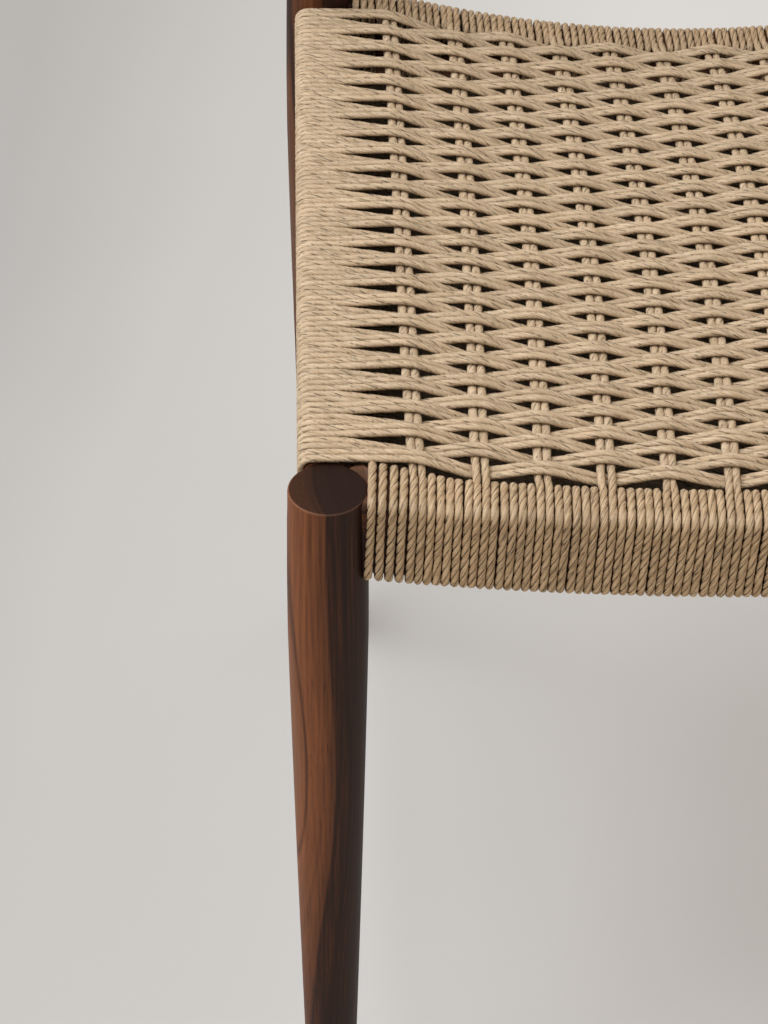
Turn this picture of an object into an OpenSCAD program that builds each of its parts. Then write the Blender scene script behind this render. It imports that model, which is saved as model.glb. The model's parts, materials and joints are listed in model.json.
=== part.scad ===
// Side chair with a woven paper cord seat on a turned walnut frame.
// The front faces -Y. Left and right are as seen from the front, left being -X.
// All sizes are in millimetres. The origin is on the floor, under the middle of the chair's box.

/* [Stance] */
// Distance between the axes of the two front legs
front_spacing = 377; // [340:1:420]
// Distance between the axes of the two back posts
back_spacing = 388; // [340:1:430]
// Distance from the front leg axes to the back post axes
depth_spacing = 401; // [340:1:440]
// Height of the flat tops of the front legs
seat_h = 456; // [420:1:480]

/* [Legs] */
// Radius of a leg at its flat top
leg_top_r = 17.2; // [15.5:0.1:20]
// Largest radius of a leg
leg_swell_r = 18.1; // [17.6:0.1:21]
// Depth below the leg top at which the leg is thickest
swell_depth = 78; // [60:1:110]
// Radius of a leg at the foot
leg_foot_r = 11; // [10:0.1:14]
// Bulge of the taper from swell to foot, where 1 is straight
taper_power = 1.2; // [1:0.05:1.6]
// Rounding of the leg's top edge
leg_edge = 1; // [0.5:0.1:2]

/* [Back posts] */
// Height above the leg tops at which the posts start to lean
bend_above = 30; // [20:1:50]
// Radius of the bend
bend_r = 250; // [150:5:400]
// Lean of the back from the vertical, in degrees
rake = 9; // [4:0.5:14]
// Length of the leaning part of a post
lean_l = 275; // [240:1:340]
// Radius of a post at its top
post_tip_r = 12; // [11:0.1:15]
// Rounding of the post's top edge
tip_edge = 6; // [3:0.5:9]

/* [Seat rails] */
// Thickness of a seat rail's wood
rail_t = 18; // [15:0.5:20]
// Height of a seat rail's wood
rail_h = 41; // [36:0.5:44]
// Rounding of a seat rail's edges
rail_edge = 3; // [1:0.5:5]
// How far the middle of the front rail dips below its ends
front_dip = 11; // [4:0.5:18]
// How far the middle of the back rail dips below its ends
back_dip = 28; // [12:0.5:34]
// How far the seat rails stand outwards from the line of the leg axes
rail_out = 0.5; // [0:0.1:2]
// Thickness of a seat rail's tenon
tenon_t = 10; // [8:0.5:11]
// Height of a seat rail's tenon
tenon_h = 28; // [20:0.5:30]
// How far the tenons of the side rails reach past the leg axis
side_tenon_past = 8; // [5:0.5:10]

/* [Back] */
// Height of the crest rail
crest_h = 75; // [60:1:90]
// Distance from the post tops down to the crest rail
crest_below = 15; // [8:1:25]
// Height of the lower back rail
slat_h = 38; // [30:1:46]
// Height of the lower back rail above the bend of the posts
slat_above = 62; // [40:1:80]
// Thickness of the two back rails
back_t = 16; // [13:0.5:18]
// Plan radius of the two back rails
back_bow_r = 520; // [420:5:700]
// Rounding of the back rails' edges
back_edge = 6; // [3:0.5:6.4]
// Thickness of a back rail's tenon
back_tenon_t = 8; // [6:0.5:10]
// How far a back rail's tenon reaches past the post axis
back_tenon_past = 2; // [0:0.5:4]
// How far the middle of a back rail's tenon lies behind the post axis
back_tenon_behind = 2; // [1:0.5:3]
// Wood kept above and below a back rail's tenon
back_tenon_margin = 9; // [6:0.5:12]

/* [Stretchers] */
// Height of the side stretchers
stretcher_z = 185; // [150:1:240]
// Radius of a stretcher at its middle
stretcher_mid_r = 11; // [9:0.1:13]
// Radius of a stretcher at its shoulders
stretcher_end_r = 8.5; // [7.6:0.1:9]
// Radius of a stretcher's round tenons
stretcher_tenon_r = 7; // [5.5:0.1:7.2]
// How far a stretcher's tenon reaches into the leg
stretcher_tenon_l = 16; // [12:0.5:18]

/* [Paper cord] */
// Diameter of the cord
cord_d = 3.8; // [3.4:0.05:3.85]
// Distance between neighbouring cords
cord_pitch = 3.9; // [3.9:0.05:4.2]
// Number of pairs of cords that run from front to back
pair_count = 12; // [8:2:12]
// Single turns on the front rail between two pairs
turns_between = 5; // [4:1:5]
// Distance from the front leg axis to the first pair
first_pair_front = 38.4; // [34:0.1:42]
// Distance from the back post axis to the first pair
first_pair_back = 36.8; // [33:0.1:42]
// Number of double cords that run from side to side
weft_count = 47; // [39:2:49]
// Thickness of a cord where the weave presses it flat
woven_t = 2.7; // [2.2:0.1:2.7]
// Width of a pressed double cord
woven_w = 7; // [6:0.1:7.2]

/* [Tacks and glides] */
// Radius of a tack's shank
tack_r = 0.9; // [0.6:0.05:1.2]
// Radius of a tack's flat head
tack_head_r = 3; // [2:0.1:4]
// Thickness of a tack's head
tack_head_t = 0.8; // [0.5:0.05:1.2]
// Length of a tack in the wood
tack_grip = 9; // [6:0.5:12]
// Distance from the end of a winding to its tack
tack_inset = 9; // [6:0.5:16]
// Radius of a foot glide
glide_r = 8; // [6:0.5:9]
// Height of a foot glide below the leg
glide_h = 3; // [2:0.5:5]
// Radius of a foot glide's stem
glide_stem_r = 2.5; // [2:0.1:3]
// Length of a foot glide's stem
glide_stem_l = 14; // [10:1:20]

/* [Fits] */
// Space round a tenon or a stem in its hole
fit_gap = 0.1; // [0.05:0.01:0.2]
// Wood left between the two mortises that meet in a leg
mortise_wall = 0.3; // [0.2:0.1:1]
// Space between a rail's shoulder and the round leg
shoulder_gap = 0.15; // [0.1:0.05:0.3]
// Space between the cord and what it lies against
cord_gap = 0.25; // [0.2:0.05:0.3]

/* [Hidden] */
walnut = [0.33, 0.20, 0.14];
cord_colour = [0.73, 0.64, 0.52];
round_fn = 96;
bow_fn = 360;
wire_fn = 16;
leg_steps = 14;
edge_steps = 4;
stretcher_steps = 12;

// How far a tenon is rooted in its rail, and how far a rail's blank runs into the leg that copes it
tenon_root = 8;
blank_past = 8;
// The same for a stretcher's blank and for a back rail's tenon, which start nearer the shoulder
stretcher_past = 2;
back_tenon_root = 1;
// How far a hole goes past the end of what it holds, and how far its cut runs out of the wood
hole_spare = 1;
cut_past = 5;

// Leg outline
leg_bottom = glide_h;
leg_l = seat_h - leg_bottom;
function leg_radius(s) = s < swell_depth
    ? leg_swell_r - (leg_swell_r - leg_top_r) * pow(1 - s / swell_depth, 2)
    : leg_swell_r - (leg_swell_r - leg_foot_r) * pow((s - swell_depth) / (leg_l - swell_depth), taper_power);

// The bend of the posts, and the frame of the leaning back
bend_z = seat_h + bend_above;
lean_y = bend_r * (1 - cos(rake));
lean_z = bend_z + bend_r * sin(rake);
function post_radius(s) = leg_top_r + (post_tip_r - leg_top_r) * s / (lean_l - tip_edge);

// The two bowed rails of the back, in the frame of the leaning back
crest_mid = lean_l - crest_below - crest_h / 2;
slat_mid = slat_above + slat_h / 2;
back_half = back_spacing / 2;
back_sag = back_bow_r - sqrt(pow(back_bow_r, 2) - pow(back_half, 2));

// Where the chair's box starts and ends, from the front leg axes
front_reach = leg_swell_r;
back_reach = depth_spacing + lean_y + back_edge + (back_sag + back_t / 2 - back_edge) * cos(rake)
    + (crest_mid + crest_h / 2 - back_edge) * sin(rake);
front_y = (front_reach - back_reach) / 2;
back_y = front_y + depth_spacing;
front_half = front_spacing / 2;

// The side rails run from leg axis to post axis, a little off the Y axis
side_l = sqrt(pow(depth_spacing, 2) + pow(back_half - front_half, 2));
side_angle = atan2(back_half - front_half, depth_spacing);
winding_start = leg_swell_r + cord_gap;
wood_out = rail_t / 2 + rail_out;
wood_in = rail_t / 2 - rail_out;

// The dips of the front and back rails are arcs that are level with the leg tops at the legs
function bow_radius(half, dip) = (half * half + dip * dip) / (2 * dip);
function bow_top(x, half, dip) = seat_h - dip + bow_radius(half, dip)
    - sqrt(pow(bow_radius(half, dip), 2) - x * x);
function bow_bottom(x, half, dip) = seat_h - dip + bow_radius(half, dip)
    - sqrt(pow(bow_radius(half, dip) + rail_h, 2) - x * x);
front_bow = front_half - leg_top_r;
back_bow = back_half - leg_top_r;
function front_top(x) = bow_top(x, front_bow, front_dip);
function back_top(x) = bow_top(x, back_bow, back_dip);
function front_bottom(x) = bow_bottom(x, front_bow, front_dip);
function back_bottom(x) = bow_bottom(x, back_bow, back_dip);

// The woven surface is ruled from the front rail to the back rail
weave_front_y = front_y + wood_in + cord_d + cord_gap;
weave_back_y = back_y - wood_in - cord_d - cord_gap;
function mix(a, b, t) = a + (b - a) * t;
function along_depth(y) = (y - front_y) / depth_spacing;
function weave_z(x, y) = mix(front_top(x), back_top(x), along_depth(y)) + cord_d / 2;

// The cords run round the rails and back under them, where the pairs lie below the double cords
under_weft_z = seat_h - rail_h - cord_d / 2;
function under_warp_z(x, y) =
    min(mix(front_bottom(x), back_bottom(x), along_depth(y)) - cord_d / 2, under_weft_z - cord_pitch);
pairs_half = pair_count / 2;
pair_step = (turns_between + 2) * cord_pitch;
function pair_x_at(i, t) = let (k = pairs_half - 1 - i)
    k == pairs_half - 1
    ? mix(front_half - first_pair_front, back_half - first_pair_back, t)
    : (k + 0.5) * pair_step;
function pair_x(i, t) = i < pairs_half ? -pair_x_at(i, t) : pair_x_at(pair_count - 1 - i, t);
weft_step = (side_l - 2 * winding_start) / weft_count;
weave_height = cord_pitch;
function inner_x(y) = mix(front_half, back_half, along_depth(y)) - wood_in - cord_d - 2 * cord_gap;

// Points of a quarter turn of a rounded corner, from angle a to a + 90
function corner(cx, cy, r, a) = [for (k = [0 : edge_steps])
    [cx + r * cos(a + 90 * k / edge_steps), cy + r * sin(a + 90 * k / edge_steps)]];

// A rounded rectangle from (x0, y0) to (x1, y1)
module rounded(x0, y0, x1, y1, r) {
    polygon(concat(corner(x0 + r, y0 + r, r, 180), corner(x1 - r, y0 + r, r, 270),
                   corner(x1 - r, y1 - r, r, 0), corner(x0 + r, y1 - r, r, 90)));
}

// The turned outline of a leg, which ends in a rounded edge at the seat or runs on straight above it
module turned_leg(above = 0, grow = 0) {
    top_r = leg_top_r + grow;
    rotate_extrude($fn = round_fn)
        polygon(concat(
            [[0, leg_bottom - grow], [leg_foot_r + grow, leg_bottom - grow]],
            [for (k = [leg_steps : -1 : 1]) let (s = leg_l * (k - 0.5) / leg_steps)
                [leg_radius(s) + grow, seat_h - s]],
            above > 0 ? [[top_r, seat_h], [top_r, seat_h + above]]
                      : corner(top_r - leg_edge, seat_h - leg_edge, leg_edge, 0),
            [[0, seat_h + above]]));
}

// A leg's outline with room around it, which cuts the rails' shoulders
module leg_room() {
    turned_leg(bend_above, shoulder_gap);
}

module at_leg(side, back) {
    translate([side * (back ? back_half : front_half), back ? back_y : front_y, 0])
        children();
}

// The frame of the leaning back, with Z along the posts and Y behind the back
module lean() {
    translate([0, back_y + lean_y, lean_z])
        rotate([-rake, 0, 0])
            children();
}

// Frame of one side rail: Y runs from the leg axis to the post axis, X points to the chair's outside
module side_frame(side) {
    mirror([side < 0 ? 1 : 0, 0, 0])
        translate([front_half, front_y, 0])
            rotate([0, 0, -side_angle])
                children();
}

// Tenons of a front or back rail, grown by the fit gap for the mortises
module cross_tenon(side, back, grow = 0) {
    axis_x = back ? back_half : front_half;
    from = axis_x - leg_top_r - tenon_root;
    to = axis_x - max(tenon_t / 2 - rail_out, 0) - 2 * fit_gap - mortise_wall + grow;
    y_mid = back ? back_y + rail_out : front_y - rail_out;
    mirror([side < 0 ? 1 : 0, 0, 0])
        translate([from, y_mid - tenon_t / 2 - grow, seat_h - (rail_h + tenon_h) / 2 - grow])
            cube([to - from, tenon_t + 2 * grow, tenon_h + 2 * grow]);
}

// Tenon of a side rail, which reaches past the leg axis in front of the cross rail's tenon
module side_tenon(side, back, grow = 0) {
    start = back ? side_l - leg_top_r - tenon_root : -side_tenon_past - grow;
    end = back ? side_l + side_tenon_past + grow : leg_top_r + tenon_root;
    side_frame(side)
        translate([rail_out - tenon_t / 2 - grow, start, seat_h - (rail_h + tenon_h) / 2 - grow])
            cube([tenon_t + 2 * grow, end - start, tenon_h + 2 * grow]);
}

// Round hole for a stretcher's tenon, from inside the leg out through its surface
module stretcher_bore(side, back) {
    start = leg_radius(seat_h - stretcher_z) - stretcher_tenon_l - hole_spare;
    end = leg_swell_r + cut_past;
    side_frame(side)
        translate([0, back ? side_l - end : start, stretcher_z])
            rotate([-90, 0, 0])
                cylinder(h = end - start, r = stretcher_tenon_r + fit_gap, $fn = round_fn);
}

module glide_bore() {
    translate([0, 0, leg_bottom - cut_past])
        cylinder(h = cut_past + glide_stem_l + hole_spare, r = glide_stem_r + fit_gap, $fn = round_fn);
}

module front_leg(side) {
    color(walnut)
        difference() {
            at_leg(side, false) turned_leg();
            cross_tenon(side, false, fit_gap);
            side_tenon(side, false, fit_gap);
            stretcher_bore(side, false);
            at_leg(side, false) glide_bore();
        }
}

// The bent part and the leaning part of a post
module post_bend(side) {
    translate([side * back_half, back_y + bend_r, bend_z])
        rotate([90, 0, -90])
            rotate_extrude(angle = rake, $fn = bow_fn)
                translate([bend_r, 0])
                    circle(r = leg_top_r, $fn = round_fn);
}

module post_lean(side, grow = 0) {
    lean()
        translate([side * back_half, 0, 0])
            rotate_extrude($fn = round_fn)
                polygon(concat([[0, 0], [leg_top_r + grow, 0]],
                    corner(post_tip_r + grow - tip_edge, lean_l - tip_edge, tip_edge, 0),
                    [[0, lean_l]]));
}

// A core through both ends of the bend, which makes the post's three stretches one piece of wood
core_wall = 4;
core_l = 8;
core_r = leg_top_r - core_wall;
module post_cores(side) {
    translate([side * back_half, back_y, bend_z - core_l / 2])
        cylinder(h = core_l, r = core_r, $fn = round_fn);
    lean()
        translate([side * back_half, 0, -core_l / 2])
            cylinder(h = core_l, r = core_r, $fn = round_fn);
}

// Tenon of a back rail in its post, in the frame of the leaning back
module back_tenon(side, mid, h, grow = 0) {
    reach = h / 2 - back_tenon_margin + grow;
    start = post_radius(mid - h / 2) + back_tenon_root;
    lean()
        mirror([side < 0 ? 1 : 0, 0, 0])
            translate([back_half - start, back_tenon_behind - back_tenon_t / 2 - grow, mid - reach])
                cube([start + back_tenon_past + grow, back_tenon_t + 2 * grow, 2 * reach]);
}

module back_post(side) {
    color(walnut)
        difference() {
            union() {
                at_leg(side, true) turned_leg(bend_above);
                post_bend(side);
                post_lean(side);
                post_cores(side);
            }
            cross_tenon(side, true, fit_gap);
            side_tenon(side, true, fit_gap);
            stretcher_bore(side, true);
            at_leg(side, true) glide_bore();
            back_tenon(side, crest_mid, crest_h, fit_gap);
            back_tenon(side, slat_mid, slat_h, fit_gap);
        }
}

// A dipped rail: its rounded section turned about the centre of the dip's arc
module dipped_rail(half, dip, y_front) {
    r = bow_radius(half, dip);
    turn = asin((half + blank_past) / r);
    translate([0, y_front + rail_t, seat_h - dip + r])
        rotate([90, 0, 0])
            rotate([0, 0, -90 - turn])
                rotate_extrude(angle = 2 * turn, $fn = bow_fn)
                    rounded(r, 0, r + rail_h, rail_t, rail_edge);
}

module front_rail() {
    color(walnut)
        union() {
            difference() {
                dipped_rail(front_bow, front_dip, front_y - wood_out);
                at_leg(-1, false) leg_room();
                at_leg(1, false) leg_room();
            }
            cross_tenon(-1, false);
            cross_tenon(1, false);
        }
}

module back_rail() {
    color(walnut)
        union() {
            difference() {
                dipped_rail(back_bow, back_dip, back_y - wood_in);
                at_leg(-1, true) leg_room();
                at_leg(1, true) leg_room();
            }
            cross_tenon(-1, true);
            cross_tenon(1, true);
        }
}

module side_rail(side) {
    start = leg_top_r - blank_past;
    color(walnut)
        union() {
            difference() {
                side_frame(side)
                    translate([0, side_l - start, 0])
                        rotate([90, 0, 0])
                            linear_extrude(side_l - 2 * start)
                                rounded(rail_out - rail_t / 2, seat_h - rail_h,
                                        rail_out + rail_t / 2, seat_h, rail_edge);
                at_leg(side, false) leg_room();
                at_leg(side, true) leg_room();
            }
            side_tenon(side, false);
            side_tenon(side, true);
        }
}

// A round stretcher, thickest at its middle
module side_stretcher(side) {
    leg_r = leg_radius(seat_h - stretcher_z);
    body_l = side_l - 2 * leg_r;
    blank_l = body_l + 2 * stretcher_past;
    color(walnut)
        union() {
            difference() {
                side_frame(side)
                    translate([0, leg_r - stretcher_past, stretcher_z])
                        rotate([-90, 0, 0])
                            rotate_extrude($fn = round_fn)
                                polygon(concat([[0, 0]],
                                    [for (k = [0 : stretcher_steps]) let (u = k / stretcher_steps)
                                        [mix(stretcher_end_r, stretcher_mid_r, sin(180 * u)), blank_l * u]],
                                    [[0, blank_l]]));
                at_leg(side, false) leg_room();
                at_leg(side, true) leg_room();
            }
            side_frame(side)
                translate([0, leg_r - stretcher_tenon_l, stretcher_z])
                    rotate([-90, 0, 0])
                        cylinder(h = body_l + 2 * stretcher_tenon_l, r = stretcher_tenon_r, $fn = round_fn);
        }
}

// A bowed rail of the back with its tenons
module bowed_back_rail(mid, h) {
    turn = asin((back_half - post_tip_r + blank_past) / back_bow_r);
    color(walnut)
        union() {
            difference() {
                lean()
                    translate([0, back_sag - back_bow_r, mid - h / 2])
                        rotate([0, 0, 90 - turn])
                            rotate_extrude(angle = 2 * turn, $fn = bow_fn)
                                rounded(back_bow_r - back_t / 2, 0, back_bow_r + back_t / 2, h, back_edge);
                post_lean(-1, shoulder_gap);
                post_lean(1, shoulder_gap);
            }
            back_tenon(-1, mid, h);
            back_tenon(1, mid, h);
        }
}

// Faces of a strip between two rings of n points, seen from outside when the rings run clockwise
function ring_faces(a, b, n) = [for (j = [0 : n - 1]) each
    [[a + j, a + (j + 1) % n, b + j], [a + (j + 1) % n, b + (j + 1) % n, b + j]]];
function flipped(faces) = [for (f = faces) [f[2], f[1], f[0]]];

// A wound rail cover: ribbed outside, one rib for each cord, and open inside for the rail.
// outer and inner are lists of rings of the same number of points, both running along the rail.
module cover(outer, inner) {
    n = len(outer[0]);
    m = len(outer);
    k = len(inner);
    base = m * n;
    outer_faces = [for (i = [0 : m - 2]) each ring_faces(i * n, (i + 1) * n, n)];
    inner_faces = flipped([for (i = [0 : k - 2]) each ring_faces(base + i * n, base + (i + 1) * n, n)]);
    end_faces = concat(flipped(ring_faces(0, base, n)),
                       ring_faces((m - 1) * n, base + (k - 1) * n, n));
    polyhedron(points = concat([for (r = outer) each r], [for (r = inner) each r]),
               faces = concat(outer_faces, inner_faces, end_faces));
}

// Section of a winding round a rail. low is the wood's outer face, high the winding's inner face, which
// has no ribs because the woven cords start from it, e stands off the wood and c is the corners' bevel.
groove = 0.55;
bevel = 2.6;
sharp = 0.01;
sleeve_steps = 12;
function winding_section(low, high, top, bottom, e, c) = [
    [high, top + e], [low - e + c, top + e], [low - e, top + e - c],
    [low - e, bottom - e + c], [low - e + c, bottom - e], [high, bottom - e]];

// The rings of a dipped rail's winding, from left to right. facing is 1 at the front and -1 at the back.
function dipped_rings(half, dip, axis_half, axis_y, facing, count, ribs) = [for (i = [0 : count])
    let (reach = axis_half - winding_start,
         x = mix(-reach, reach, i / count),
         e = ribs ? (i % 2 == 0 ? cord_d * groove : cord_d) : cord_gap,
         inside = ribs ? wood_in + cord_d : wood_in + cord_gap,
         section = winding_section(-wood_out, inside, bow_top(x, half, dip), bow_bottom(x, half, dip),
                                   e, ribs ? bevel : sharp))
    [for (q = section) [x, axis_y + facing * q[0], q[1]]]];

function turned_back(rings) = [for (r = rings) [for (j = [len(r) - 1 : -1 : 0]) r[j]]];

module dipped_winding(half, dip, axis_half, axis_y, facing) {
    ribs = round(2 * (axis_half - winding_start) / cord_pitch);
    outer = dipped_rings(half, dip, axis_half, axis_y, facing, 2 * ribs, true);
    inner = dipped_rings(half, dip, axis_half, axis_y, facing, sleeve_steps, false);
    color(cord_colour)
        cover(facing > 0 ? outer : turned_back(outer), facing > 0 ? inner : turned_back(inner));
}

module front_rail_winding() {
    dipped_winding(front_bow, front_dip, front_half, front_y, 1);
}

module back_rail_winding() {
    dipped_winding(back_bow, back_dip, back_half, back_y, -1);
}

// The rings of a side rail's winding in the frame of that rail, from front to back
function side_rings(count, ribs) = [for (i = [0 : count])
    let (y = mix(winding_start, side_l - winding_start, i / count),
         e = ribs ? (i % 2 == 0 ? cord_d * groove : cord_d) : cord_gap,
         inside = ribs ? wood_in + cord_d : wood_in + cord_gap,
         section = winding_section(-wood_out, inside, seat_h, seat_h - rail_h, e, ribs ? bevel : sharp))
    [for (q = section) [-q[0], y, q[1]]]];

module side_rail_winding(side) {
    color(cord_colour)
        side_frame(side)
            cover(side_rings(2 * weft_count, true), side_rings(1, false));
}

// A flat band of cord through rings of four points
module band(rings) {
    n = 4;
    m = len(rings);
    polyhedron(points = [for (r = rings) each r],
               faces = concat([for (i = [0 : m - 2]) each ring_faces(i * n, (i + 1) * n, n)],
                              [[3, 2, 1, 0]], [[for (j = [0 : 3]) (m - 1) * n + j]]));
}

// The pairs of cords that run straight from the front rail to the back rail, on the seat or under it
warp_steps = 8;
module warp_layer(under) {
    color(cord_colour)
        for (i = [0 : pair_count - 1])
            band([for (k = [0 : warp_steps])
                let (y = mix(weave_front_y, weave_back_y, k / warp_steps),
                     x = pair_x(i, along_depth(y)),
                     z = under ? under_warp_z(x, y) : weave_z(x, y),
                     w = woven_w / 2,
                     h = woven_t / 2)
                [[x - w, y, z - h], [x - w, y, z + h], [x + w, y, z + h], [x + w, y, z - h]]]);
}

// The double cords that run from side to side, over one pair and under the next
module weft_cords() {
    color(cord_colour)
        for (j = [0 : weft_count - 1])
            let (y = front_y + (winding_start + (j + 0.5) * weft_step) * cos(side_angle),
                 t = along_depth(y),
                 xs = concat([-inner_x(y)], [for (i = [0 : pair_count - 1]) pair_x(i, t)], [inner_x(y)]))
                band([for (k = [0 : pair_count + 1])
                    let (x = xs[k],
                         edge = k == 0 || k == pair_count + 1,
                         lift = edge ? 0 : ((j + k) % 2 == 0 ? -weave_height : weave_height),
                         z = weave_z(x, y) + lift,
                         w = woven_w / 2,
                         h = woven_t / 2,
                         skew = edge ? sign(x) * tan(side_angle) * w : 0)
                    [[x - skew, y - w, z - h], [x + skew, y + w, z - h],
                     [x + skew, y + w, z + h], [x - skew, y - w, z + h]]]);
}

// The double cords under the seat, which run straight from side to side
module under_weft_cords() {
    color(cord_colour)
        for (j = [0 : weft_count - 1])
            let (y = front_y + (winding_start + (j + 0.5) * weft_step) * cos(side_angle))
                band([for (side = [-1, 1])
                    let (x = side * inner_x(y),
                         w = woven_w / 2,
                         h = woven_t / 2,
                         z = under_weft_z,
                         skew = side * tan(side_angle) * w)
                    [[x - skew, y - w, z - h], [x + skew, y + w, z - h],
                     [x + skew, y + w, z + h], [x - skew, y - w, z + h]]]);
}

// A tack in the inner face of a rail, with X out of the wood, which holds the end of a cord
module tack() {
    translate([-tack_grip, 0, 0])
        rotate([0, 90, 0])
            cylinder(h = tack_grip + cord_d + tack_head_t, r = tack_r, $fn = wire_fn);
    translate([cord_d, 0, 0])
        rotate([0, 90, 0])
            cylinder(h = tack_head_t, r = tack_head_r, $fn = wire_fn);
}

// The two tacks of a front or back rail. facing is 1 at the front and -1 at the back.
module dipped_rail_tacks(half, dip, axis_half, axis_y, facing) {
    x = axis_half - winding_start - tack_inset;
    z = (bow_top(x, half, dip) + bow_bottom(x, half, dip)) / 2;
    for (side = [-1, 1])
        translate([side * x, axis_y + facing * wood_in, z])
            rotate([0, 0, facing * 90])
                tack();
}

module cord_tacks() {
    color("silver") {
        dipped_rail_tacks(front_bow, front_dip, front_half, front_y, 1);
        dipped_rail_tacks(back_bow, back_dip, back_half, back_y, -1);
        for (side = [-1, 1], back = [false, true])
            side_frame(side)
                translate([-wood_in, back ? side_l - winding_start - tack_inset : winding_start + tack_inset,
                           seat_h - rail_h / 2])
                    rotate([0, 0, 180])
                        tack();
    }
}

module foot_glides() {
    color("dimgray")
        for (side = [-1, 1], back = [false, true])
            at_leg(side, back) {
                cylinder(h = glide_h, r = glide_r, $fn = round_fn);
                cylinder(h = glide_h + glide_stem_l, r = glide_stem_r, $fn = round_fn);
            }
}

front_leg(-1);  // front_leg_left
front_leg(1);  // front_leg_right
back_post(-1);  // back_post_left
back_post(1);  // back_post_right
front_rail();
back_rail();
side_rail(-1);  // side_rail_left
side_rail(1);  // side_rail_right
side_stretcher(-1);  // side_stretcher_left
side_stretcher(1);  // side_stretcher_right
bowed_back_rail(crest_mid, crest_h);  // crest_rail
bowed_back_rail(slat_mid, slat_h);  // lower_back_rail
front_rail_winding();
back_rail_winding();
side_rail_winding(-1);  // left_rail_winding
side_rail_winding(1);  // right_rail_winding
warp_layer(false);  // warp_cords
weft_cords();
warp_layer(true);  // under_warp_cords
under_weft_cords();
cord_tacks();
foot_glides();
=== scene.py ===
"""Looks of a side chair with a woven paper cord seat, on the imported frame. Lengths are in metres."""
import json
import math

import bpy
import numpy as np
from mathutils import Matrix, Vector

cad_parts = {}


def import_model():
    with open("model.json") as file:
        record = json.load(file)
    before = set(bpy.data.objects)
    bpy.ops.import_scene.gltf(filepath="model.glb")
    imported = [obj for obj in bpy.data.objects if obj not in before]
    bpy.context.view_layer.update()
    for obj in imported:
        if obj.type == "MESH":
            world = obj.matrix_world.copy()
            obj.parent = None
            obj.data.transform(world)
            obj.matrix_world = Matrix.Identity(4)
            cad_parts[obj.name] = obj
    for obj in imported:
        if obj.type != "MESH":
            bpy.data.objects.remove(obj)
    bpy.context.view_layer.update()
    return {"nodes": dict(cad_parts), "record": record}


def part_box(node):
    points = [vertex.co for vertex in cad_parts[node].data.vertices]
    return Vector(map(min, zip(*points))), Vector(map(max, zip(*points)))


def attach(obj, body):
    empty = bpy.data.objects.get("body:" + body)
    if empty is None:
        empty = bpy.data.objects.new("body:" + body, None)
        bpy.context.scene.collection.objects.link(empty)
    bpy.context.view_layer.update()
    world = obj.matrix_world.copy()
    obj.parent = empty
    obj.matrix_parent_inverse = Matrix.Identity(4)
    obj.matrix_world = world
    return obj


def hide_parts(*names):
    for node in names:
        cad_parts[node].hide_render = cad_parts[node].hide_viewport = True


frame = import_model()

MM = 0.001
ROOT = "root"
rng = np.random.default_rng(11)


# Sizes of the chair, from the frame

feet = {m["name"]: m["pos_m"] for m in frame["record"]["mounts"]}
FRONT_HALF, FRONT_Y = feet["foot_front_right"][:2]
BACK_HALF, BACK_Y = feet["foot_back_right"][:2]
DEPTH = BACK_Y - FRONT_Y
SEAT_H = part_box("front_leg_left")[1].z
RAIL_H = SEAT_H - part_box("side_rail_left")[0].z
WOOD_OUT = FRONT_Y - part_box("front_rail")[0].y
WOOD_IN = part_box("front_rail")[1].y - FRONT_Y
FRONT_DIP = SEAT_H - RAIL_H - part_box("front_rail")[0].z
BACK_DIP = SEAT_H - RAIL_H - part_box("back_rail")[0].z
WINDING_START = FRONT_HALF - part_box("front_rail_winding")[1].x
SIDE_L = math.hypot(DEPTH, BACK_HALF - FRONT_HALF)

# Sizes that the boxes of the frame don't give

LEG_TOP_R = 17.2 * MM
RAIL_EDGE = 3 * MM

# The cord and its twist, which is harder in the turns on the rails than in the weave

CORD_R = 1.88 * MM
CORD_PITCH = 3.9 * MM
PLIES = 3
TURN_LAY = 18.5 * MM  # length of one turn of the twist
WEAVE_LAY = 26 * MM
LAY_SPREAD = (0.86, 1.14)  # how much the twist differs from cord to cord
UNEVEN_TWIST = 2.2  # how much it wanders along a cord, and over how many rings
UNEVEN_WIDTH = 4
TURN_GROOVE = 0.24  # depth between the plies, as a share of the radius
WEAVE_GROOVE = 0.07
HOLLOW_SHADE_SIDE = 1.6  # how soon the side that faces the hollow of the seat is all in painted shade
GRAIN_OFFSETS = 400  # range, in mm, in which each cord's fibres start

# Single turns, and all cords where they go round the front and back rails

TURN_START = -7 * MM  # height, from the rail's top, at which a group starts on the inner side
LEAN_START = 0.2  # share of the way round at which a leaning turn is at its own place
CLOSEST_TURNS = 0.25  # share of a pitch that may be missing for one more turn in a group
TURN_JITTER = 0.1 * MM  # how much the places of turns differ
TURN_SWAY = 0.55 * MM  # how much a turn wanders, and over how many points
TURN_SWAY_WIDTH = 6
TURN_PRESSED = 0.045  # share by which a cord is flatter
TURN_TWIST = 0.75  # how hard the twist is on top of a rail, which also sets the painted shade and painted highlight there
NEARER_LEGS = 2.2 * MM  # how much nearer to the legs than in the solids the cords start
FLARE = 8 * MM  # how much thicker the front rail is beside a leg, and how far along it
FLARE_REACH = 36 * MM

# The pairs, from front to back

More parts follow.
